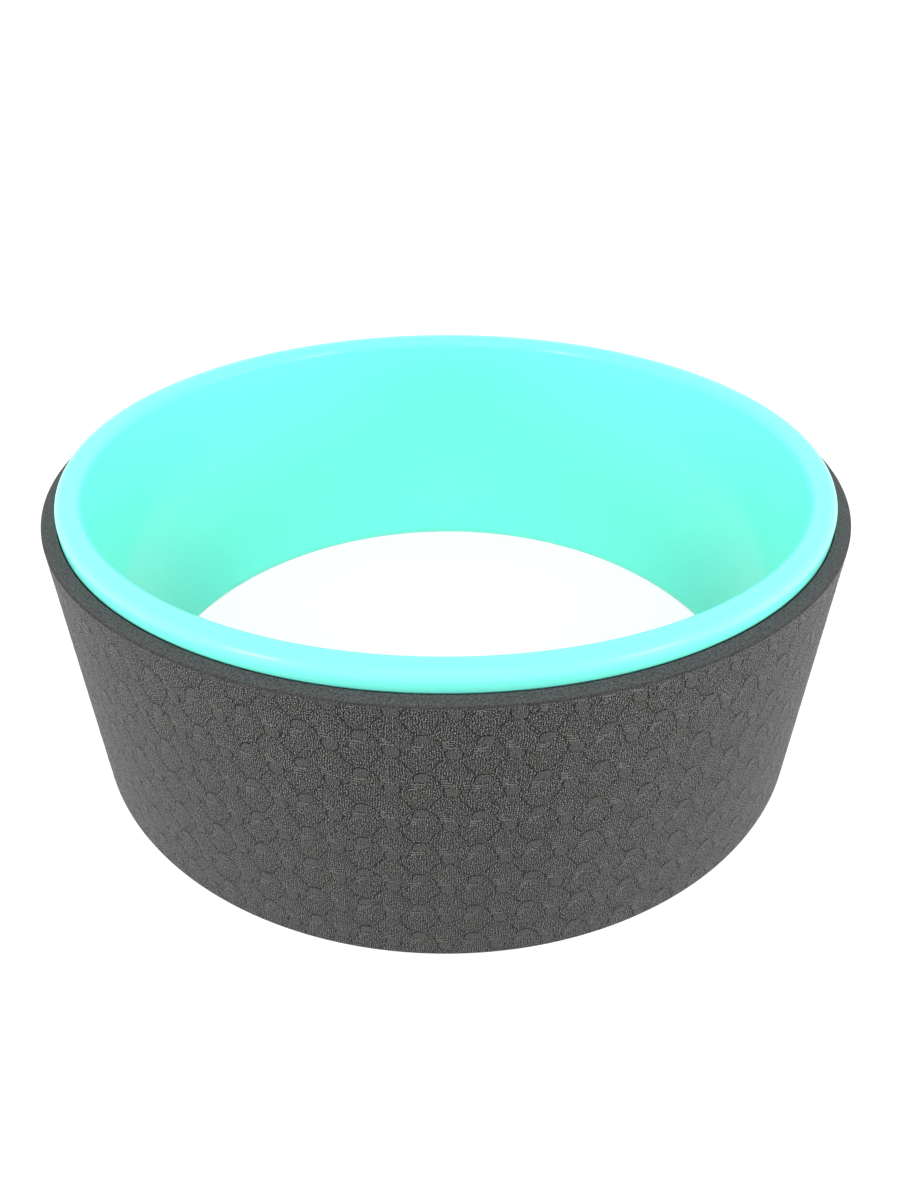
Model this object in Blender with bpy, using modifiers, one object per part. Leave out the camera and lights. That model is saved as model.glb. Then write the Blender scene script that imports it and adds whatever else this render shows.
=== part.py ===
"""Back roller wheel: a rigid moulded hoop with a cushioned tread strip taped round it.

Metres, +Z up. The wheel lies on its side, as it is put down between uses: its rolling axis is the
Z axis, it stands on the crest of its lower lip, and the origin is on the floor under its centre.
The tread's butt joint faces +Y.
"""

import math

import bpy

# Overall sizes
WHEEL_DIAMETER = 0.330  # over the tread
TREAD_WIDTH = 0.114
LIP_HEIGHT = 0.008  # how far each lip stands past the edge of the tread

# The hoop is one thick moulding. Its lips are rounded right over and keep a narrow flat crest to
# stand on. The bore's side is the slower curve, because the hands and the neck rest on it.
HOOP_WALL = 0.010
LIP_CREST = 0.001
LIP_OUTER_ROUND = 0.0042
LIP_INNER_RISE = 0.0058

# The tread is a strip of closed-cell foam sheet, wrapped once round the hoop
TREAD_THICKNESS = 0.006
TREAD_EDGE_ROUND = 0.0008
TREAD_JOINT = 0.0004  # what is left open between the strip's two ends

# Double-sided tape holds the strip down. It fills a shallow seat moulded between the lips.
TAPE_THICKNESS = 0.0004
TAPE_SETBACK = 0.002  # from each edge of the tread
SEAT_ROUND = 0.0004
CLEARANCE = 0.0003  # between pieces that touch

# How finely the round shapes are divided
TURNS = 120
OUTER_ROUND_STEPS = 5
INNER_ROUND_STEPS = 6
EDGE_ROUND_STEPS = 3
SEAT_ROUND_STEPS = 2

# Radii and heights that follow from the sizes above
TREAD_OUTSIDE = WHEEL_DIAMETER / 2
TREAD_INSIDE = TREAD_OUTSIDE - TREAD_THICKNESS
TAPE_OUTSIDE = TREAD_INSIDE - CLEARANCE
TAPE_INSIDE = TAPE_OUTSIDE - TAPE_THICKNESS
SEAT_RADIUS = TAPE_INSIDE - CLEARANCE
HOOP_OUTSIDE = TREAD_INSIDE
HOOP_INSIDE = HOOP_OUTSIDE - HOOP_WALL
HOOP_WIDTH = TREAD_WIDTH + 2 * LIP_HEIGHT
LIP_INNER_REACH = HOOP_WALL - LIP_CREST - LIP_OUTER_ROUND
MIDDLE = HOOP_WIDTH / 2
TREAD_HIGH = MIDDLE + TREAD_WIDTH / 2
TREAD_LOW = MIDDLE - TREAD_WIDTH / 2

# Colour and roughness of each material
HOOP_PLASTIC = ((0.19, 0.92, 0.80, 1.0), 0.22)
TREAD_FOAM = ((0.070, 0.070, 0.068, 1.0), 0.75)
TAPE_FILM = ((0.80, 0.80, 0.76, 1.0), 0.50)


def clear_scene():
    for item in list(bpy.data.objects):
        bpy.data.objects.remove(item)


def new_collection(name):
    collection = bpy.data.collections.new(name)
    bpy.context.scene.collection.children.link(collection)
    return collection


def new_material(name, look):
    colour, roughness = look
    material = bpy.data.materials.new(name)
    material.use_nodes = True
    shader = material.node_tree.nodes["Principled BSDF"]
    shader.inputs["Base Color"].default_value = colour
    shader.inputs["Roughness"].default_value = roughness
    shader.inputs["Metallic"].default_value = 0.0
    material.diffuse_color = colour
    return material


def arc(centre, reach, rise, start, turn, steps):
    """Points along an ellipse about the centre, from start through turn, both in degrees."""
    radius, height = centre
    points = []
    for step in range(steps + 1):
        angle = math.radians(start + turn * step / steps)
        points.append((radius + reach * math.cos(angle), height + rise * math.sin(angle)))
    return points


def lip_outer_side(height, start):
    centre = (HOOP_OUTSIDE - LIP_OUTER_ROUND, height)
    return arc(centre, LIP_OUTER_ROUND, LIP_OUTER_ROUND, start, -90, OUTER_ROUND_STEPS)


def lip_inner_side(height, start):
    centre = (HOOP_INSIDE + LIP_INNER_REACH, height)
    return arc(centre, LIP_INNER_REACH, LIP_INNER_RISE, start, -90, INNER_ROUND_STEPS)


def seat_corner(height, start):
    centre = (SEAT_RADIUS + SEAT_ROUND, height)
    return arc(centre, SEAT_ROUND, SEAT_ROUND, start, 90, SEAT_ROUND_STEPS)


def tread_edge(height, start):
    centre = (TREAD_OUTSIDE - TREAD_EDGE_ROUND, height)
    return arc(centre, TREAD_EDGE_ROUND, TREAD_EDGE_ROUND, start, -90, EDGE_ROUND_STEPS)


def hoop_section():
    """The moulding's section, from the upper lip down the outside and back up the bore."""
    seat_high = TREAD_HIGH + CLEARANCE
    seat_low = TREAD_LOW - CLEARANCE
    section = lip_outer_side(HOOP_WIDTH - LIP_OUTER_ROUND, 90)
    section.append((HOOP_OUTSIDE, seat_high))
    section += seat_corner(seat_high - SEAT_ROUND, 90)
    section += seat_corner(seat_low + SEAT_ROUND, 180)
    section.append((HOOP_OUTSIDE, seat_low))
    section += lip_outer_side(LIP_OUTER_ROUND, 0)
    section += lip_inner_side(LIP_INNER_RISE, -90)
    section += lip_inner_side(HOOP_WIDTH - LIP_INNER_RISE, 180)
    return section


def tread_section():
    """The strip's section: square against the hoop, with its outer edges softened."""
    section = tread_edge(TREAD_HIGH - TREAD_EDGE_ROUND, 90)
    section += tread_edge(TREAD_LOW + TREAD_EDGE_ROUND, 0)
    section.append((TREAD_INSIDE, TREAD_LOW))
    section.append((TREAD_INSIDE, TREAD_HIGH))
    return section


def tape_section():
    high = TREAD_HIGH - TAPE_SETBACK
    low = TREAD_LOW + TAPE_SETBACK
    return [(TAPE_OUTSIDE, high), (TAPE_OUTSIDE, low), (TAPE_INSIDE, low), (TAPE_INSIDE, high)]


def turned_ring(name, section, material, collection):
    """A ring made by turning a closed section once round the Z axis."""
    count = len(section)
    corners = [(radius, 0.0, height) for radius, height in section]
    edges = [(index, (index + 1) % count) for index in range(count)]
    mesh = bpy.data.meshes.new(name)
    mesh.from_pydata(corners, edges, [])
    mesh.materials.append(material)
    ring = bpy.data.objects.new(name, mesh)
    collection.objects.link(ring)
    turn = ring.modifiers.new("turn", "SCREW")
    turn.axis = "Z"
    turn.angle = math.tau
    turn.steps = TURNS
    turn.render_steps = TURNS
    turn.use_smooth_shade = True
    turn.use_merge_vertices = True
    turn.merge_threshold = 0.00001
    return ring


def joint_blade(collection):
    """A thin upright blade at +Y, as deep as the tread and the tape together."""
    outer_side = TREAD_OUTSIDE + CLEARANCE
    inner_side = (TAPE_INSIDE + SEAT_RADIUS) / 2
    bpy.ops.mesh.primitive_cube_add(size=1.0)
    blade = bpy.context.active_object
    blade.name = "joint_blade"
    blade.location = (0.0, (outer_side + inner_side) / 2, MIDDLE)
    blade.scale = (TREAD_JOINT, outer_side - inner_side, HOOP_WIDTH)
    for old in list(blade.users_collection):
        old.objects.unlink(blade)
    collection.objects.link(blade)
    blade.hide_render = True
    blade.display_type = "WIRE"
    return blade


def open_joint(ring, blade):
    cut = ring.modifiers.new("butt joint", "BOOLEAN")
    cut.operation = "DIFFERENCE"
    cut.solver = "EXACT"
    cut.object = blade


clear_scene()
wheel = new_collection("back_roller_wheel")
cutters = new_collection("cutters")

turned_ring("hoop", hoop_section(), new_material("hoop_plastic", HOOP_PLASTIC), wheel)
tape = turned_ring("adhesive_tape", tape_section(), new_material("tape_film", TAPE_FILM), wheel)
tread = turned_ring("tread_strip", tread_section(), new_material("tread_foam", TREAD_FOAM), wheel)

joint = joint_blade(cutters)
open_joint(tape, joint)
open_joint(tread, joint)
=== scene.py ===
import math

import bmesh
import bpy
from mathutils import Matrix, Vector, geometry


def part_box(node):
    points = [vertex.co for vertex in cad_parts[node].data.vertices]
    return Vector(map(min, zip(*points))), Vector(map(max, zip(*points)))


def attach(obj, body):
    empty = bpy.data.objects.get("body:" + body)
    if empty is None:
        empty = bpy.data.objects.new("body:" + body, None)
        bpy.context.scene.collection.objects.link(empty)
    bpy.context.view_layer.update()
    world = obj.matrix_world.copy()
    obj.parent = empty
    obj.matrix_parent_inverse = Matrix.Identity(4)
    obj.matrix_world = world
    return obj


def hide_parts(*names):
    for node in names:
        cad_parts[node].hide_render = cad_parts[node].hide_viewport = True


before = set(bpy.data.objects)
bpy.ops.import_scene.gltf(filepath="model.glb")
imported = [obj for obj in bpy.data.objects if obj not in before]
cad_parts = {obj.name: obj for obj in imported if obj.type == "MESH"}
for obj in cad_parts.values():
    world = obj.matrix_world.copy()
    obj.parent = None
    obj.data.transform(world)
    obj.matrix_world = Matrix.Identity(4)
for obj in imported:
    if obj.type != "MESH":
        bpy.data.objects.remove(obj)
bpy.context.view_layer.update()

# Hoop. One thick ring of turquoise ABS, injection moulded in one piece and left glossy. A rounded
# lip runs round each side, and a shallow seat between the lips takes the tape and the tread.

hoop_low, hoop_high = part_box("hoop")
tread_low, tread_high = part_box("tread_strip")
tape_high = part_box("adhesive_tape")[1]

hoop_wall = 0.010
hoop_outside = hoop_high.x
hoop_inside = hoop_outside - hoop_wall
hoop_middle = (hoop_low.z + hoop_high.z) / 2
hoop_turns = 360
hoop_sharp_from = 40

lip_crest = 0.001
lip_outer_round = 0.0042
lip_outer_steps = 12
lip_inner_rise = 0.0058
lip_inner_reach = hoop_wall - lip_crest - lip_outer_round
lip_inner_steps = 14

tape_thickness = 0.0004
clearance = 0.0003
seat_radius = tape_high.x - tape_thickness - clearance
seat_round = 0.0004
foot_round = 0.0003
corner_steps = 4


def arc(centre, reach, rise, start, turn, steps):
    """Points along an ellipse about the centre, from start through turn, both in degrees."""
    radius, height = centre
    points = []
    for step in range(steps + 1):
        angle = math.radians(start + turn * step / steps)
        points.append((radius + reach * math.cos(angle), height + rise * math.sin(angle)))
    return points


def mirrored(points):
    """The same points below the hoop's middle, in the other order."""
    return [(radius, 2 * hoop_middle - height) for radius, height in reversed(points)]


def hoop_section():
    """The hoop's section, from the crest of the upper lip down the outside and back up the bore."""
    outer = (hoop_outside - lip_outer_round, hoop_high.z - lip_outer_round)
    foot = (hoop_outside - foot_round, tread_high.z + foot_round)
    seat = (seat_radius + seat_round, tread_high.z - seat_round)
    inner = (hoop_inside + lip_inner_reach, hoop_high.z - lip_inner_rise)
    outside = arc(outer, lip_outer_round, lip_outer_round, 90, -90, lip_outer_steps)
    outside += arc(foot, foot_round, foot_round, 0, -90, corner_steps)
    outside += arc(seat, seat_round, seat_round, 90, 90, corner_steps)
    bore = arc(inner, lip_inner_reach, lip_inner_rise, 180, -90, lip_inner_steps)
    return outside + mirrored(outside) + mirrored(bore) + bore


def finished(name, shape, sharp_from):
    """The piece that a shape makes, smooth but for edges sharper than an angle in degrees."""
    bmesh.ops.recalc_face_normals(shape, faces=shape.faces)
    mesh = bpy.data.meshes.new(name)
    shape.to_mesh(mesh)
    shape.free()
    mesh.shade_smooth()
    mesh.set_sharp_from_angle(angle=math.radians(sharp_from))
    piece = bpy.data.objects.new(name, mesh)
    bpy.context.scene.collection.objects.link(piece)
    return piece


def turned(name, section, turns, sharp_from):
    """A ring made by turning a closed section once round the wheel's axis."""
    shape = bmesh.new()
    corners = [shape.verts.new((radius, 0.0, height)) for radius, height in section]
    edges = [shape.edges.new((corners[i - 1], corners[i])) for i in range(len(corners))]
    bmesh.ops.spin(
        shape, geom=corners + edges, axis=(0, 0, 1), angle=math.tau, steps=turns, use_merge=True
    )
    return finished(name, shape, sharp_from)


def principled(name, colour, roughness):
    """A material with its shader's plain sockets set, and that shader."""
    material = bpy.data.materials.new(name)
    material.use_nodes = True
    shader = material.node_tree.nodes["Principled BSDF"]
    shader.inputs["Base Color"].default_value = (*colour, 1.0)
    shader.inputs["Roughness"].default_value = roughness
    return material, shader


def shader_step(tree, kind, inputs, **settings):
    """One more step in a material, with each input set to a value or joined to another step."""
    step = tree.nodes.new("ShaderNode" + kind)
    for name, value in settings.items():
        setattr(step, name, value)
    for slot, value in inputs.items():
        if isinstance(value, bpy.types.NodeSocket):
            tree.links.new(value, step.inputs[slot])
        else:
            step.inputs[slot].default_value = value
    return step


def noise_over(tree, scale):
    """Noise that stays on the piece, at so many features to the metre."""
    place = shader_step(tree, "TexCoord", {})
    inputs = {"Vector": place.outputs["Object"], "Scale": scale, "Detail": 2.0}
    return shader_step(tree, "TexNoise", inputs).outputs["Fac"]


def raise_skin(tree, shader, height, strength, distance):
    """Make a height show on a shader as relief, so many metres deep for a height of 1."""
    inputs = {"Height": height, "Strength": strength, "Distance": distance}
    relief = shader_step(tree, "Bump", inputs)
    tree.links.new(relief.outputs["Normal"], shader.inputs["Normal"])


def moulded_plastic():
    """Glossy ABS whose polish and skin vary slowly, as the melt flowed in the mould."""
    material, shader = principled("glossy_turquoise_abs", (0.188, 0.875, 0.735), 0.2)
    shader.inputs["IOR"].default_value = 1.5
    tree = material.node_tree
    flow = noise_over(tree, 18.0)
    polish = shader_step(tree, "MapRange", {"Value": flow, "To Min": 0.17, "To Max": 0.25})
    tree.links.new(polish.outputs["Result"], shader.inputs["Roughness"])
    raise_skin(tree, shader, flow, strength=0.12, distance=0.0004)
    return material


hoop = turned("moulded_hoop", hoop_section(), hoop_turns, hoop_sharp_from)
hoop.data.materials.append(moulded_plastic())
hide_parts("hoop")
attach(hoop, "root")

# Tape. A ring of thin double-sided tape lies in the hoop's seat and holds the tread down. Only its
# edge could be seen, down in the tread's joint.


def tape_film():
    """Off-white tape with the fine fibres of its carrier."""
    material, shader = principled("double_sided_tape", (0.74, 0.73, 0.68), 0.55)
    tree = material.node_tree
    raise_skin(tree, shader, noise_over(tree, 900.0), strength=0.3, distance=0.0001)
    return material


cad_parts["adhesive_tape"].data.materials.clear()
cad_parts["adhesive_tape"].data.materials.append(tape_film())

# Tread. A strip of charcoal TPE foam, 6 mm thick, cut from mat sheet that a roller has pressed a
# scale pattern into. It is wrapped once round the hoop on the tape, and its ends meet at the back.
# The flat strip and the roller's die are drawn in millimetres.

foam_thickness = 0.006
tread_outside = tread_high.x
tread_inside = tread_outside - foam_thickness
tread_middle = (tread_low.z + tread_high.z) / 2

# The roller's die: the size of one repeat, its two scales, each in a groove that runs round it,
# and four curved grooves between them
die_length = 18.10
die_width = 15.17
groove_depth = 0.11
groove_reach = 0.30
scale_crown = 0.07
scale_points = 12
shield = {
    "at": (-0.35, 0.4),
    "width": 4.8,
    "height": 3.4,
    "crown": 0.55,
    "foot": 0.55,
    "taper": 0.14,
    "lean": -0.10,
}
dome = {
    "at": (8.6, 6.1),
    "width": 4.8,
    "height": 3.3,
    "crown": 0.75,
    "foot": 0.45,
    "taper": -0.13,
    "lean": 0.07,
}
grooves = (
    ((3.5, 0.1), (4.6, 0.75), (5.1, 1.7), (5.2, 3.0)),
    ((-6.3, 6.6), (-5.3, 5.7), (-4.3, 4.4), (-3.9, 3.0)),
    ((-6.6, -6.1), (-5.7, -4.4), (-4.7, -2.8), (-3.4, -1.55)),
    ((2.2, -2.5), (3.4, -4.2), (4.6, -5.7), (5.9, -7.0)),
)

# Ladders of steps, which climb from the scales: three rungs on one side, five pads on the other
rung_count = 3
rung_width = 4.0
rung_shrink = 0.62
rung_height = 0.68
rung_left = -3.2
rung_start = 2.85
rung_pitch = 1.06
pad_count = 5
pad_left = 0.3
pad_step = 0.78
pad_drift = 0.1
pad_start = 2.80
pad_width = 1.5
pad_extra_width = 1.8
pad_height = 1.2
first_pad_height = 0.75
pad_turn = 0.2
shield_pads = {"side": -1, "pitch": 1.35, "tilt": -0.1}
dome_pads = {"side": 1, "pitch": 1.58, "tilt": -0.15}
ladder_foot = -0.05
ladder_crown = 0.07
ladder_rounding = 0.7
ladder_points = 6
crest_setback = 0.8
shortest_crest = 0.7

# The field between them, which bulges a little
field_crown = 0.02
field_pitch = 3.0
field_clearance = 0.85


def rounded_outline(at, width, height, crown, foot, taper, lean, points):
    """An oval squared off by its crown above and its foot below: 1 is round, less is squarer."""
    outline = []
    for step in range(points):
        turn = math.tau * (step + 0.5) / points
        across, up = math.cos(turn), math.sin(turn)
        rounding = crown if up > 0 else foot
        x = width / 2 * math.copysign(abs(across) ** rounding, across)
        y = height / 2 * math.copysign(abs(up) ** rounding, up)
        x *= 1 + taper * up
        outline.append((at[0] + x, at[1] + y + lean * x))
    return outline


def rungs(scale, side):
    """Short rungs above or below a scale, left ends in line, as (x, y, width, height, tilt)."""
    steps = []
    for k in range(rung_count):
        width = rung_width * rung_shrink ** k
        y = side * (rung_start + rung_pitch * k)
        steps.append((width / 2 + rung_left, y, width, rung_height, scale["lean"]))
    return steps


def pads(side, pitch, tilt):
    """Pads that climb from a scale towards the next one, smaller and more turned as they go."""
    steps = []
    for k in range(pad_count):
        x = pad_left + pad_step * k + pad_drift * k * k
        y = side * (pad_start + pitch * k)
        width = pad_width + pad_extra_width / (1 + k)
        height = pad_height if k > 0 else first_pad_height
        steps.append((x, y, width, height, tilt - pad_turn * side * k))
    return steps


def fill_field(points):
    """Staggered points over the rest of the die, clear of all that it already holds."""
    columns = round(die_length / field_pitch)
    rows = 2 * round(die_width / field_pitch / 2)
    for row in range(rows):
        for column in range(columns):
            x = die_length * ((column + row % 2 / 2) / columns - 0.5)
            y = die_width * (row / rows - 0.5)
            nearest = field_clearance
            for point in points:
                apart_x = (point[0] - x + die_length / 2) % die_length - die_length / 2
                apart_y = (point[1] - y + die_width / 2) % die_width - die_width / 2
                nearest = min(nearest, math.hypot(apart_x, apart_y))
            if nearest == field_clearance:
                points.append((x, y, field_crown, 0.0))


def pressing_die():
    """One repeat of the die, as points (x, y, height, crest) and the lines between them."""
    points = []
    lines = []

    def press(spots, height, crest=0.0, closed=False):
        first = len(points)
        points.extend((x, y, height, crest) for x, y in spots)
        lines.extend((first + i, first + i + 1) for i in range(len(spots) - 1))
        if closed:
            lines.append((first + len(spots) - 1, first))

    for scale, ladders in (
        (shield, rungs(shield, 1) + pads(**shield_pads)),
        (dome, pads(**dome_pads) + rungs(dome, -1)),
    ):
        form = dict(scale)
        press([scale["at"]], scale_crown)
        for height in (0.0, -groove_depth, 0.0):
            press(rounded_outline(points=scale_points, **form), height, closed=True)
            form["width"] += 2 * groove_reach
            form["height"] += 2 * groove_reach
        for x, y, width, height, tilt in ladders:
            x += scale["at"][0]
            y += scale["at"][1]
            outline = rounded_outline(
                (x, y), width, height, crown=ladder_rounding, foot=ladder_rounding,
                taper=0.0, lean=tilt, points=ladder_points,
            )
            press(outline, ladder_foot, closed=True)
            reach = width / 2 - crest_setback
            crest = [(x, y)]
            if reach > shortest_crest:
                crest = [(x + reach * end, y + reach * end * tilt) for end in (-1, 1)]
            press(crest, ladder_crown, crest=1.0)
    for groove in grooves:
        press(groove, -groove_depth)
    fill_field(points)
    return points, lines


# The flat strip, and how the die's repeats lie on it: their turn, and where one middle falls
tread_joint = 0.4
strip_length = math.tau * tread_outside * 1000 - tread_joint
strip_width = (tread_high.z - tread_low.z) * 1000
strip_sharp_from = 75
die_turn = math.radians(-1.735)
die_start = (38.5, 37.4)
end_margin = 0.6
edge_margin = 0.4
spare_repeats = 4
nearly_touching = 0.0001

# The strip's rounded edges. The shadow is how dark each row of points on them is, from the pressed
# face down to the cut side.
strip_edge_round = 0.8
strip_edge_shadow = (0.3, 0.55, 0.35, 0.0)
strip_edge_pitch = 2.5
strip_end_pitch = 1.0

# Rows down the strip's cut sides, as the height over the hoop and the step inwards. The painted
# shade beside the hoop, where the cut side meets it, starts between the first two.
strip_side_rows = ((0.58, 0.0), (0.5, 0.0), (0.0, 0.12))


def on_strip(x, y, i, j):
    """A place in the die's repeat i, j, as a place on the strip from its middle."""
    x += i * die_length
    y += j * die_width
    turned_x = x * math.cos(die_turn) - y * math.sin(die_turn)
    turned_y = x * math.sin(die_turn) + y * math.cos(die_turn)
    return die_start[0] + turned_x, die_start[1] + turned_y


def on_die(x, y):
    """A place on the strip, counted in repeats of the die along and across."""
    x -= die_start[0]
    y -= die_start[1]
    plain_x = x * math.cos(die_turn) + y * math.sin(die_turn)
    plain_y = -x * math.sin(die_turn) + y * math.cos(die_turn)
    return plain_x / die_length, plain_y / die_width


def strip_border():
    """Points (x, y, height, crest, shadow) on the strip's edges and ends, and lines along them.

    With them come the whole border in order, the two sides and the two ends, each as the numbers
    of its points: sides low and high from left to right, ends left and right from low to high.
    """
    points = []
    lines = []
    rows = {}
    count = round(strip_length / strip_edge_pitch)
    last = len(strip_edge_shadow) - 1
    for side in (-1, 1):
        for step, shadow in enumerate(strip_edge_shadow):
            turn = math.pi / 2 * step / last
            y = side * (strip_width / 2 - strip_edge_round * (1 - math.sin(turn)))
            drop = strip_edge_round * (1 - math.cos(turn))
            start = len(points)
            for k in range(count + 1):
                points.append((strip_length * (k / count - 0.5), y, -drop, 0.0, shadow))
            lines.extend((start + k, start + k + 1) for k in range(count))
            rows[side, step] = range(start, len(points))
    face_edge = strip_width / 2 - strip_edge_round
    end_steps = round(2 * face_edge / strip_end_pitch)
    ends = []
    for corner, x in ((0, -strip_length / 2), (-1, strip_length / 2)):
        start = len(points)
        for k in range(1, end_steps):
            points.append((x, face_edge * (2 * k / end_steps - 1), 0.0, 0.0, 0.0))
        end = [rows[-1, step][corner] for step in range(last, -1, -1)]
        end += range(start, len(points))
        end += [rows[1, step][corner] for step in range(last + 1)]
        ends.append(end)
    low, high = rows[-1, last], rows[1, last]
    left, right = ends
    border = [*low, *right[1:-1], *reversed(high), *left[-2:0:-1]]
    return points, lines, border, (low, high), (left, right)


def press_strip(points, lines):
    """Press the die into the strip's face, over and over, up to its rounded edges and its ends."""
    die_points, die_lines = pressing_die()
    reach_x = strip_length / 2 - end_margin
    reach_y = strip_width / 2 - strip_edge_round - edge_margin
    along = math.ceil(strip_length / die_length / 2) + spare_repeats
    across = math.ceil(strip_width / die_width / 2) + spare_repeats
    for i in range(-along, along + 1):
        for j in range(-across, across + 1):
            kept = {}
            for number, (x, y, height, crest) in enumerate(die_points):
                x, y = on_strip(x, y, i, j)
                if abs(x) < reach_x and abs(y) < reach_y:
                    kept[number] = len(points)
                    points.append((x, y, height, crest, 0.0))
            lines.extend((kept[a], kept[b]) for a, b in die_lines if a in kept and b in kept)


def wrapped(x, y, radius):
    """A place on the flat strip, in millimetres, as a point on the wheel, in metres."""
    angle = x / 1000 / tread_outside
    return (radius * math.sin(angle), -radius * math.cos(angle), tread_middle + y / 1000)


def cut_sides(shape, relief, points, rim, sides, ends):
    """The strip's cut sides, its underside and its cut ends, below the rim of its rounded edges."""
    rows = [rim]
    for rise, inwards in strip_side_rows:
        row = {}
        for side in sides:
            for number in side:
                x, y = points[number][:2]
                y -= math.copysign(inwards, y)
                row[number] = shape.verts.new(wrapped(x, y, tread_inside + rise / 1000))
        rows.append(row)
    under = rows[-1]
    low, high = sides
    quads = []
    for k in range(len(low) - 1):
        for side in sides:
            a, b = side[k], side[k + 1]
            for upper, lower in zip(rows, rows[1:]):
                quads.append([upper[a], upper[b], lower[b], lower[a]])
        quads.append([under[low[k]], under[low[k + 1]], under[high[k + 1]], under[high[k]]])
    # Rows low on the cut sides, beside the hoop, are marked for painted shade.
    seam_shade = {corner for row in rows[2:] for corner in row.values()}
    for quad in quads:
        made = shape.faces.new(quad)
        made.material_index = 1
        for loop in made.loops:
            loop[relief].uv = (0.0, float(loop.vert in seam_shade))
    for end in ends:
        up = [row[end[0]] for row in reversed(rows[1:])]
        down = [row[end[-1]] for row in rows[1:]]
        made = shape.faces.new(up + [rim[number] for number in end] + down)
        made.material_index = 1


def foam_strip():
    """The whole strip: its pressed face, rounded edges, cut sides and ends, wrapped in a ring."""
    points, lines, border, sides, ends = strip_border()
    press_strip(points, lines)
    flat = [Vector(point[:2]) for point in points]
    only_inside = 1
    net = geometry.delaunay_2d_cdt(flat, lines, [border], only_inside, nearly_touching)
    faces, sources = net[2:4]
    shape = bmesh.new()
    press = shape.loops.layers.uv.new("press")
    relief = shape.loops.layers.uv.new("relief")
    corners = []
    rim = {}
    for source in sources:
        x, y, height = points[source[0]][:3]
        corner = shape.verts.new(wrapped(x, y, tread_outside + height / 1000))
        corners.append(corner)
        rim.update({number: corner for number in source})
    for face in faces:
        made = shape.faces.new([corners[number] for number in face])
        marks = [points[sources[number][0]] for number in face]
        middle = sum(mark[1] for mark in marks) / len(marks)
        made.material_index = 0 if abs(middle) < strip_width / 2 - strip_edge_round else 1
        for loop, (x, y, height, crest, shadow) in zip(made.loops, marks):
            loop[press].uv = on_die(x, y)
            loop[relief].uv = (crest, shadow)
    cut_sides(shape, relief, points, rim, sides, ends)
    bmesh.ops.triangulate(shape, faces=[face for face in shape.faces if len(face.verts) > 4])
    return finished("foam_tread", shape, strip_sharp_from)


def marks_on(tree, layer):
    """The two marks that a layer of the strip's mesh carries at each place."""
    source = shader_step(tree, "UVMap", {}, uv_map=layer)
    split = shader_step(tree, "SeparateXYZ", {"Vector": source.outputs["UV"]})
    return split.outputs["X"], split.outputs["Y"]


# The pressed face's own material. What is too fine for the strip's mesh is drawn here from the
# die's own forms, in millimetres: beaded ribs with painted shade in their hollows, lines along the
# grooves painted dark as shade, and rungs painted bright as highlights.
foam_roughness = 0.46
smooth_polish = -0.05
foam_shade = 1.1
foam_contrast = 1.2
darkest_foam = 0.05
tint_size = 9.0
foam, foam_shader = principled("pressed_foam", (0.070, 0.070, 0.068), foam_roughness)
foam_shader.inputs["Specular IOR Level"].default_value = 0.2
repeat_x, repeat_y = marks_on(foam.node_tree, "press")
ladder_crest = marks_on(foam.node_tree, "relief")[0]

# Upright ribs, broken into beads. They fan out over each scale, and the field over the shield is
# a kite, whose foot and crown slope away to both sides.
rib_pitch = 0.78
rib_strength = 0.75
rib_wander_size = 2.5
bead_size = 0.40
bead_strength = 9.0
fan_height = 8.0
fan_spread = 0.35
shield_fan_middle = 6.8
dome_fan_middle = -1.6
dome_fan_top = 6.0
shield_field_foot = 0.663
shield_field_crown = 1.013

# Where each drawn form is gone and where it is full: from its middle line, in from the strip's
# edge, out from a scale's outline, as a share of the way from a scale's middle to its outline,
# and as a share of the mark that the mesh carries on a ladder's crest
scale_squareness = 2.8
line_fade = (0.18, 0.08)
glint_fade = (0.28, 0.12)
line_margin = (0.9, 2.4)
scale_fade = (0.1, -0.1)
side_fade = (0.55, 0.9)
brow_fade = (0.0, 0.8)
brow_lean = -0.7
crest_fade = (0.2, 0.8)
top_glint = 0.6
scale_smoothness = 0.7
far_away = 9.0


def work(operation, *values):
    """One step of sums in the foam's material."""
    inputs = dict(enumerate(values))
    return shader_step(foam.node_tree, "Math", inputs, operation=operation).outputs["Value"]


def weighed(total, *parts):
    """A total with each part added, times its weight."""
    for part, weight in parts:
        total = work("MULTIPLY_ADD", part, weight, total)
    return total


def ramp(value, start, end):
    """0 up to the start, 1 from the end, and a straight slope between them."""
    inputs = {"Value": value, "From Min": start, "From Max": end}
    return shader_step(foam.node_tree, "MapRange", inputs).outputs["Result"]


place_x = work("MULTIPLY", repeat_x, die_length)
place_y = work("MULTIPLY", repeat_y, die_width)
foam_place = shader_step(foam.node_tree, "CombineXYZ", {"X": place_x, "Y": place_y})


def grain(size, detail):
    """Noise whose features are about so many millimetres across."""
    inputs = {"Vector": foam_place.outputs["Vector"], "Scale": 1 / size, "Detail": detail}
    return shader_step(foam.node_tree, "TexNoise", inputs, noise_dimensions="2D").outputs["Fac"]


def from_nearest(at):
    """How far along and up a place is from the nearest copy of a place on the die."""
    far = work("FRACT", work("ADD", repeat_x, 0.5 - at[0] / die_length))
    up = work("FRACT", work("ADD", repeat_y, 0.5 - at[1] / die_width))
    far = work("MULTIPLY", work("SUBTRACT", far, 0.5), die_length)
    up = work("MULTIPLY", work("SUBTRACT", up, 0.5), die_width)
    return far, up


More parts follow.
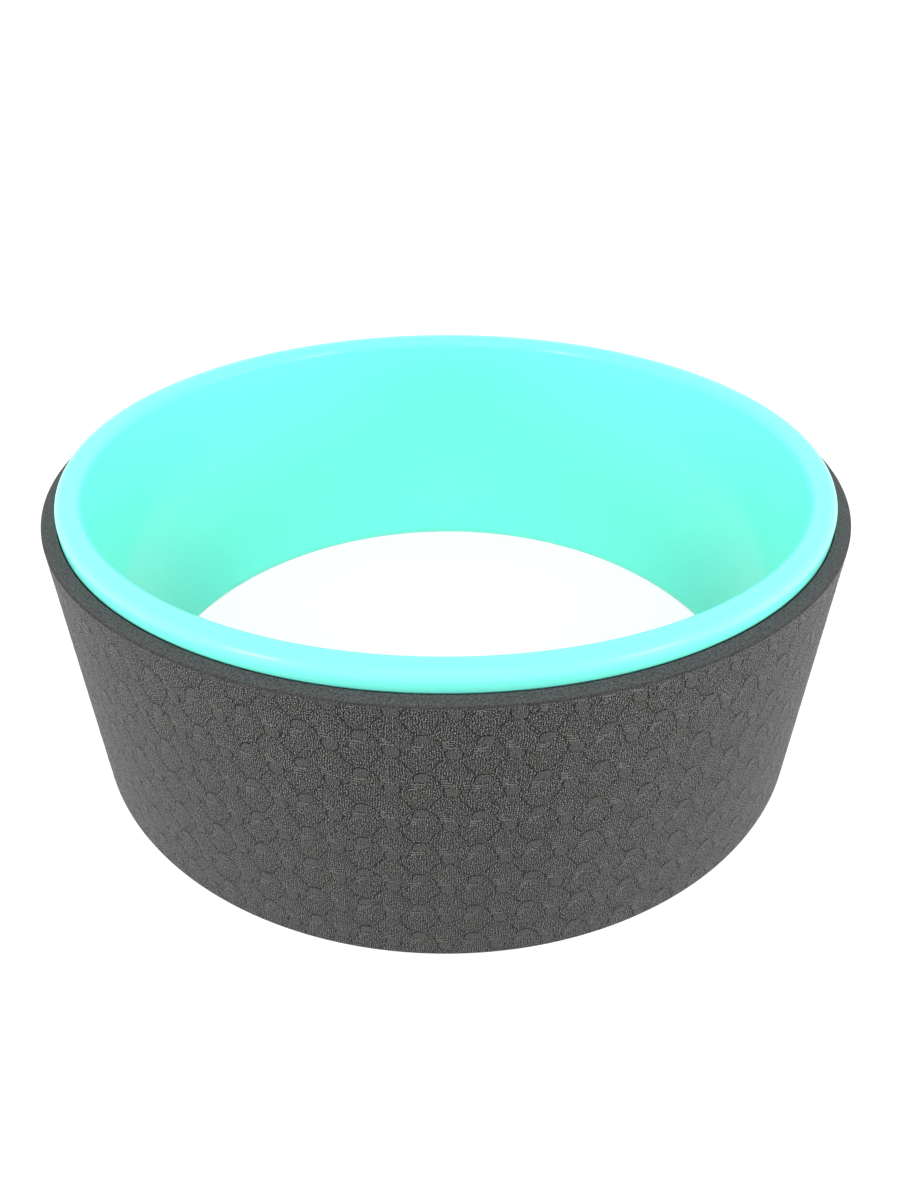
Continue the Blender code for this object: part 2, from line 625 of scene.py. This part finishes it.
def off_scale(scale):
    """How far outside the nearest scale's outline a place is, and where on the scale it is."""
    far, up = from_nearest(scale["at"])
    up = work("SUBTRACT", up, work("MULTIPLY", far, scale["lean"]))
    up = work("DIVIDE", up, scale["height"] / 2)
    half_width = work("MULTIPLY_ADD", up, scale["taper"] * scale["width"] / 2, scale["width"] / 2)
    far = work("DIVIDE", far, half_width)
    far_power = work("POWER", work("ABSOLUTE", far), scale_squareness)
    up_power = work("POWER", work("ABSOLUTE", up), scale_squareness)
    span = work("POWER", work("ADD", far_power, up_power), 1 / scale_squareness)
    return work("MULTIPLY_ADD", span, scale["height"] / 2, -scale["height"] / 2), far, up


def off_rungs(scale, side):
    """How far a place is from the nearest rung beside a scale."""
    far, up = from_nearest(scale["at"])
    apart = far_away
    for x, y, width, height, tilt in rungs(scale, side):
        level = work("MULTIPLY_ADD", far, -tilt, up)
        off = work("ABSOLUTE", work("SUBTRACT", level, y - tilt * x))
        beyond = work("SUBTRACT", work("ABSOLUTE", work("SUBTRACT", far, x)), width / 2)
        apart = work("MINIMUM", apart, work("MAXIMUM", off, beyond))
    return apart


def circle_through(first, middle, last):
    """The centre and the radius of the circle through three points."""
    (x1, y1), (x2, y2), (x3, y3) = first, middle, last
    area = 2 * (x1 * (y2 - y3) + x2 * (y3 - y1) + x3 * (y1 - y2))
    r1, r2, r3 = x1 * x1 + y1 * y1, x2 * x2 + y2 * y2, x3 * x3 + y3 * y3
    centre_x = (r1 * (y2 - y3) + r2 * (y3 - y1) + r3 * (y1 - y2)) / area
    centre_y = (r1 * (x3 - x2) + r2 * (x1 - x3) + r3 * (x2 - x1)) / area
    return (centre_x, centre_y), math.hypot(x1 - centre_x, y1 - centre_y)


def off_groove(groove):
    """How far a place is from the nearest copy of a groove, as an arc, and from the arc's box."""
    first, middle, last = groove[0], groove[2], groove[3]
    centre, radius = circle_through(first, middle, last)
    left = min(first[0], middle[0], last[0])
    right = max(first[0], middle[0], last[0])
    box = ((left + right) / 2, (first[1] + last[1]) / 2)
    far, up = from_nearest(box)
    beyond_x = work("SUBTRACT", work("ABSOLUTE", far), right - box[0])
    beyond_y = work("SUBTRACT", work("ABSOLUTE", up), abs(last[1] - first[1]) / 2)
    far = work("ADD", far, box[0] - centre[0])
    up = work("ADD", up, box[1] - centre[1])
    span = work("SQRT", work("ADD", work("MULTIPLY", far, far), work("MULTIPLY", up, up)))
    apart = work("ABSOLUTE", work("SUBTRACT", span, radius))
    return work("MAXIMUM", apart, work("MAXIMUM", beyond_x, beyond_y))


def edge_line(off):
    """The line just outside a scale's outline."""
    return ramp(work("ABSOLUTE", work("SUBTRACT", off, groove_reach / 2)), *line_fade)


def fanned(far, up, middle):
    """The distance from a fan's middle line, spread wider above and below its middle."""
    up = work("DIVIDE", work("SUBTRACT", up, middle), fan_height)
    spread = work("MULTIPLY_ADD", work("MULTIPLY", up, up), fan_spread, 1.0)
    return work("MULTIPLY", far, spread)


def beaded_ribs():
    """Fine upright ribs that fan out in the field round each scale, broken up into beads."""
    shield_far = from_nearest((0, 0))[0]
    dome_far = from_nearest((die_length / 2, 0))[0]
    up = work("MULTIPLY", work("FRACT", repeat_y), die_width)
    aside = work("ABSOLUTE", shield_far)
    over_foot = work("SUBTRACT", up, work("MULTIPLY", aside, shield_field_foot))
    crown = work("SUBTRACT", die_width, work("MULTIPLY", aside, shield_field_crown))
    under_crown = work("SUBTRACT", crown, up)
    on_shield = work("GREATER_THAN", work("MINIMUM", over_foot, under_crown), 0.0)
    dome_up = weighed(up, (work("GREATER_THAN", up, dome_fan_top), -die_width))
    from_shield = fanned(shield_far, up, shield_fan_middle)
    from_dome = fanned(dome_far, dome_up, dome_fan_middle)
    rib_x = work("MULTIPLY", from_shield, on_shield)
    rib_x = work("MULTIPLY_ADD", from_dome, work("SUBTRACT", 1.0, on_shield), rib_x)
    rib_x = work("ADD", rib_x, grain(rib_wander_size, 1.0))
    wave = work("COSINE", work("MULTIPLY", rib_x, math.tau / rib_pitch))
    bead = work("MULTIPLY_ADD", grain(bead_size, 1.0), bead_strength, -bead_strength / 2)
    return weighed(bead, (wave, rib_strength))


def painted_groove_shade(shield_off, shield_far, dome_off, dome_far, dome_up):
    """Lines along the grooves, the shield's two sides and the dome's brow, up to the strip's edges:
    sunk a little in the relief, and painted dark as shade.
    """
    apart = far_away
    for groove in grooves:
        apart = work("MINIMUM", apart, off_groove(groove))
    at_sides = ramp(work("ABSOLUTE", shield_far), *side_fade)
    sides = work("MULTIPLY", edge_line(shield_off), at_sides)
    at_brow = ramp(work("MULTIPLY_ADD", dome_far, brow_lean, dome_up), *brow_fade)
    brow = work("MULTIPLY", edge_line(dome_off), at_brow)
    line = work("MAXIMUM", ramp(apart, *line_fade), work("MAXIMUM", sides, brow))
    across = weighed(die_start[1], (place_x, math.sin(die_turn)), (place_y, math.cos(die_turn)))
    margin = [strip_width / 2 - reach for reach in line_margin]
    return work("MULTIPLY", line, ramp(work("ABSOLUTE", across), *margin))


def painted_crest_highlights(shield_off, shield_up):
    """Painted highlights on the rungs, and more faintly on the shield's upper edge, which also
    stand up a little in the relief.
    """
    apart = work("MINIMUM", off_rungs(shield, 1), off_rungs(dome, -1))
    upper_edge = work("MULTIPLY", edge_line(shield_off), ramp(shield_up, *side_fade))
    return work("MAXIMUM", ramp(apart, *glint_fade), work("MULTIPLY", upper_edge, top_glint))


def smooth_places(shield_off, dome_off):
    """Where the die has ironed the foam: most of each scale, and the crests of the ladders."""
    inside = ramp(work("MINIMUM", shield_off, dome_off), *scale_fade)
    inside = work("MULTIPLY", inside, scale_smoothness)
    return work("MAXIMUM", inside, ramp(ladder_crest, *crest_fade))


def pressed_foam():
    """Charcoal foam skin: smooth scales, grooves with painted shade, rungs with painted highlights
    and beaded ribs between.
    """
    tree = foam.node_tree
    shield_off, shield_far, shield_up = off_scale(shield)
    dome_off, dome_far, dome_up = off_scale(dome)
    line = painted_groove_shade(shield_off, shield_far, dome_off, dome_far, dome_up)
    glint = painted_crest_highlights(shield_off, shield_up)
    smooth = smooth_places(shield_off, dome_off)
    plain = work("MAXIMUM", smooth, work("MAXIMUM", line, glint))
    rib = work("MULTIPLY", beaded_ribs(), work("SUBTRACT", 1.0, plain))
    height = weighed(rib, (line, -6.0), (glint, 2.0))
    raise_skin(tree, foam_shader, height, strength=1.0, distance=0.0001)
    roughness = weighed(foam_roughness, (smooth, smooth_polish))
    tree.links.new(roughness, foam_shader.inputs["Roughness"])
    # The colour carries painted light: the ribs and beads dark in their hollows and light on top as
    # painted shade of their relief, the grooves painted dark as shade, the rungs painted bright as
    # highlights, and the smooth places lighter, partly to even them with the ribbed foam and partly
    # as a painted sheen.
    shade = weighed(foam_shade, (rib, 2.7), (smooth, 0.85), (line, -0.8), (glint, 2.0))
    shade = work("POWER", work("MAXIMUM", shade, darkest_foam), foam_contrast)
    cool = (0.0260, 0.0250, 0.0256, 1)
    warm = (0.0260, 0.0260, 0.0240, 1)
    inputs = {"Factor": grain(tint_size, 2.0), "A": cool, "B": warm}
    tint = shader_step(tree, "Mix", inputs, data_type="RGBA").outputs["Result"]
    paint = shader_step(tree, "VectorMath", {0: tint, "Scale": shade}, operation="SCALE")
    tree.links.new(paint.outputs["Vector"], foam_shader.inputs["Base Color"])
    return foam


def cut_foam():
    """The strip's cut sides: fine pores, and painted shade that darkens the rounded edges and the
    cut sides beside the hoop.
    """
    material, shader = principled("cut_foam", (0.055, 0.055, 0.056), 0.9)
    shader.inputs["Specular IOR Level"].default_value = 0.25
    tree = material.node_tree
    pores = noise_over(tree, 1600.0)
    spread = shader_step(tree, "MapRange", {"Value": pores, "From Min": 0.3, "From Max": 0.7})
    inside_pores = (0.030, 0.030, 0.030, 1)
    between_pores = (0.105, 0.105, 0.106, 1)
    inputs = {"Factor": spread.outputs["Result"], "A": inside_pores, "B": between_pores}
    foam_colour = shader_step(tree, "Mix", inputs, data_type="RGBA").outputs["Result"]
    shadow = marks_on(tree, "relief")[1]
    shade = shader_step(tree, "MapRange", {"Value": shadow, "To Min": 1.0, "To Max": 0.1})
    inputs = {0: foam_colour, "Scale": shade.outputs["Result"]}
    paint = shader_step(tree, "VectorMath", inputs, operation="SCALE")
    tree.links.new(paint.outputs["Vector"], shader.inputs["Base Color"])
    raise_skin(tree, shader, pores, strength=0.5, distance=0.0001)
    return material


tread = foam_strip()
tread.data.materials.append(pressed_foam())
tread.data.materials.append(cut_foam())
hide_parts("tread_strip")
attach(tread, "root")

# Floor. A wide white studio sweep, which isn't part of the wheel. It throws light back as white
# paper does, and what the camera sees of it is part glow, so that the wheel's shadow stays pale.

floor_size = 12.0
floor_paint = (0.90, 0.90, 0.90, 1)
floor_paint_seen = (0.25, 0.25, 0.25, 1)
floor_near = 0.3
floor_far = 2.0
floor_glow_near = 0.82
floor_glow_far = 0.88


def seen_directly(tree):
    """1 for what the camera sees, straight or in a gloss or a glass, 0 for light on its way."""
    ray = shader_step(tree, "LightPath", {})
    total = ray.outputs["Is Camera Ray"]
    for name in ("Is Glossy Ray", "Is Transmission Ray"):
        inputs = {0: total, 1: ray.outputs[name]}
        step = shader_step(tree, "Math", inputs, operation="ADD", use_clamp=True)
        total = step.outputs["Value"]
    return total


def studio_white():
    """White paint for light on its way, and a darker paint with a glow for the camera."""
    material, shader = principled("studio_white", (0.80, 0.80, 0.80), 0.9)
    shader.inputs["Specular IOR Level"].default_value = 0.0
    shader.inputs["Emission Color"].default_value = (1, 1, 1, 1)
    tree = material.node_tree
    seen = seen_directly(tree)
    inputs = {"Factor": seen, "A": floor_paint, "B": floor_paint_seen}
    paint = shader_step(tree, "Mix", inputs, data_type="RGBA")
    tree.links.new(paint.outputs["Result"], shader.inputs["Base Color"])
    place = shader_step(tree, "TexCoord", {})
    away = shader_step(tree, "VectorMath", {0: place.outputs["Object"]}, operation="LENGTH")
    inputs = {"Value": away.outputs["Value"], "From Min": floor_near, "From Max": floor_far}
    inputs.update({"To Min": floor_glow_near, "To Max": floor_glow_far})
    wash = shader_step(tree, "MapRange", inputs)
    inputs = {0: seen, 1: wash.outputs["Result"]}
    glow = shader_step(tree, "Math", inputs, operation="MULTIPLY")
    tree.links.new(glow.outputs["Value"], shader.inputs["Emission Strength"])
    return material


bpy.ops.mesh.primitive_plane_add(size=floor_size)
floor = bpy.context.active_object
floor.name = "studio_floor"
floor.data.materials.append(studio_white())

# Light. A white room with a soft lamp over the front, one over the back and one on each side. Two
# small lamps near the camera only show in the gloss, as the bright streaks on the front of the lip.

lamp_target = (0, 0, 0.1)
room_light = 0.56
room_white = 1.0


def white_room():
    """A room that is white to the camera and in reflections, and lights the wheel more gently."""
    world = bpy.data.worlds.new("white_room")
    bpy.context.scene.world = world
    world.use_nodes = True
    tree = world.node_tree
    room = tree.nodes["Background"]
    room.inputs["Color"].default_value = (1, 1, 1, 1)
    inputs = {"Value": seen_directly(tree), "To Min": room_light, "To Max": room_white}
    strength = shader_step(tree, "MapRange", inputs)
    tree.links.new(strength.outputs["Result"], room.inputs["Strength"])


def soft_lamp(name, place, size, power):
    """A flat square-edged lamp that points at the wheel."""
    lamp = bpy.data.lights.new(name, "AREA")
    lamp.shape = "RECTANGLE"
    lamp.size, lamp.size_y = size
    lamp.energy = power
    holder = bpy.data.objects.new(name, lamp)
    holder.location = place
    aim = Vector(lamp_target) - Vector(place)
    holder.rotation_euler = aim.to_track_quat("-Z", "Y").to_euler()
    bpy.context.scene.collection.objects.link(holder)
    return holder


white_room()
for lamp in (
    soft_lamp("front_lamp", place=(0.0, -0.92, 0.87), size=(0.6, 0.5), power=10.6),
    soft_lamp("back_lamp", place=(0.0, 1.05, 0.75), size=(1.2, 0.6), power=7.0),
    soft_lamp("left_lamp", place=(-1.18, -0.10, 0.25), size=(0.5, 0.5), power=11.5),
    soft_lamp("right_lamp", place=(1.18, -0.10, 0.25), size=(0.5, 0.5), power=11.5),
):
    lamp.visible_glossy = False
for lamp in (
    soft_lamp("left_streak", place=(-0.95, -0.90, 0.40), size=(0.25, 0.40), power=3.2),
    soft_lamp("right_streak", place=(1.00, -0.84, 0.38), size=(0.35, 0.32), power=2.6),
):
    lamp.visible_diffuse = False

# Camera. A phone's main camera close in front of the wheel, looking down at about a third of a
# right angle. Its focal length is in pixels of the photograph, which is 1200 high.

photo_height = 1200.0
camera_focal = 841.5
camera_pitch = 33.83
camera_yaw = -0.26
camera_place = (0.0, -0.3408, 0.2755)

eye = bpy.data.cameras.new("camera")
eye.sensor_width = 36.0
eye.lens = camera_focal / photo_height * eye.sensor_width
camera = bpy.data.objects.new("camera", eye)
camera.location = camera_place
camera.rotation_euler = (math.radians(90 - camera_pitch), 0.0, math.radians(camera_yaw))
bpy.context.scene.collection.objects.link(camera)
bpy.context.scene.camera = camera
bpy.context.scene.view_settings.view_transform = "Standard"
